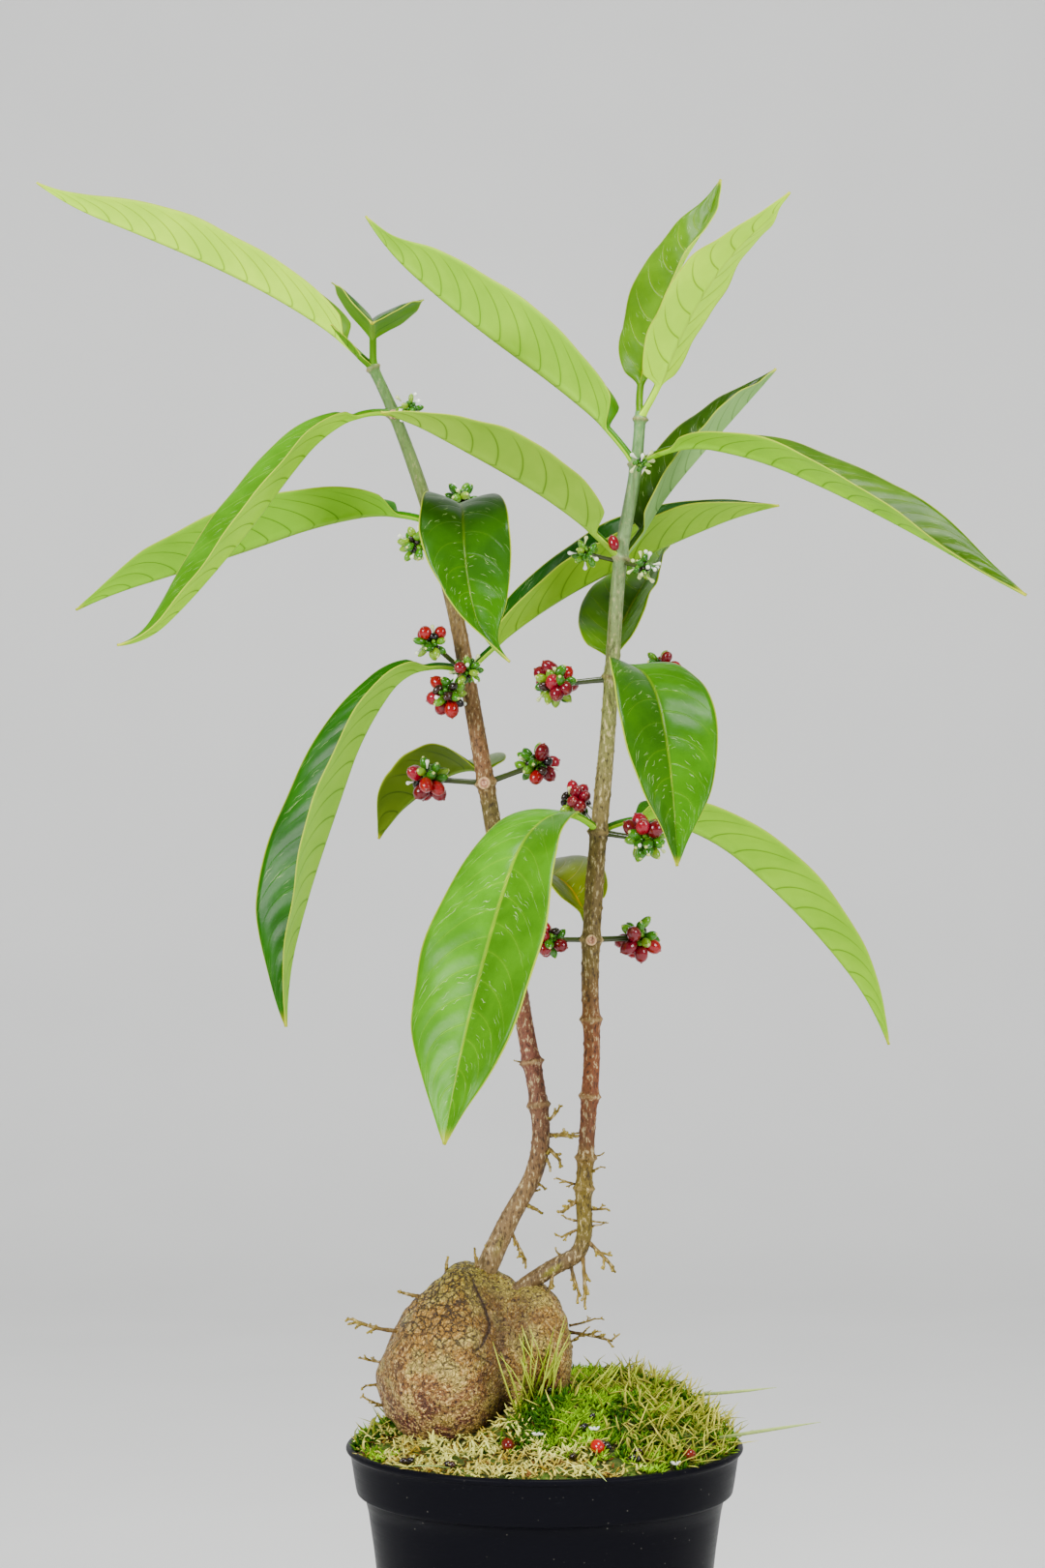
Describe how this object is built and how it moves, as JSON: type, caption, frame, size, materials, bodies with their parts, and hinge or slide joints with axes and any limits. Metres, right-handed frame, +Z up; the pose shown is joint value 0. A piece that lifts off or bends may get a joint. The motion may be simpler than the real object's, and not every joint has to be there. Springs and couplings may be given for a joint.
{
  "type": "potted ant plant",
  "caption": "Caudex plant in a round nursery pot: swollen warty base in moss, two slender stems, large folded drip-tipped leaves and round heads of small berries.",
  "frame": {"origin": "middle of the pot's flat underside, on the surface it stands on", "axes": "+Z up, +X to the viewer's right in the picture, +Y away from the viewer"},
  "size_m": [0.3234, 0.1465, 0.5331],
  "materials": {
    "pot_plastic": "near-black moulded plastic, slightly glossy, with scuffs",
    "moss": "damp moss, bright green to straw",
    "caudex_bark": "dull cracked bark, brown with olive and purple tones",
    "stem_bark": "dull brown bark",
    "young_stem": "smooth bark, brown below to grey-green above",
    "leaf": "leathery, glossy dark green above, pale yellow-green below",
    "berry": "glossy, ripe red or unripe green"
  },
  "bodies": {
    "root": {"pot": "pot_plastic", "moss_mound": "moss", "caudex": "caudex_bark", "left_stem_foot": "stem_bark", "right_stem_foot": "stem_bark", "left_stem": "young_stem", "right_stem": "young_stem", "left_leaf_1": "leaf", "left_leaf_2": "leaf", "left_leaf_3": "leaf", "left_leaf_4": "leaf", "left_leaf_5": "leaf", "left_leaf_6": "leaf", "left_leaf_7": "leaf", "left_leaf_8": "leaf", "left_bud": "leaf", "left_berries_1": "berry", "left_berries_2": "berry", "left_berries_3": "berry", "left_berries_4": "berry", "left_berries_5": "berry", "left_berries_6": "berry", "left_berries_7": "berry", "left_berries_8": "berry", "right_leaf_1": "leaf", "right_leaf_2": "leaf", "right_leaf_3": "leaf", "right_leaf_4": "leaf", "right_leaf_5": "leaf", "right_leaf_6": "leaf", "right_leaf_7": "leaf", "right_leaf_8": "leaf", "right_leaf_9": "leaf", "right_leaf_10": "leaf", "right_leaf_11": "leaf", "right_berries_1": "berry", "right_berries_2": "berry", "right_berries_3": "berry", "right_berries_4": "berry", "right_berries_5": "berry", "right_berries_6": "berry", "right_berries_7": "berry", "right_berries_8": "berry", "right_berries_9": "berry"}
  },
  "joints": []
}
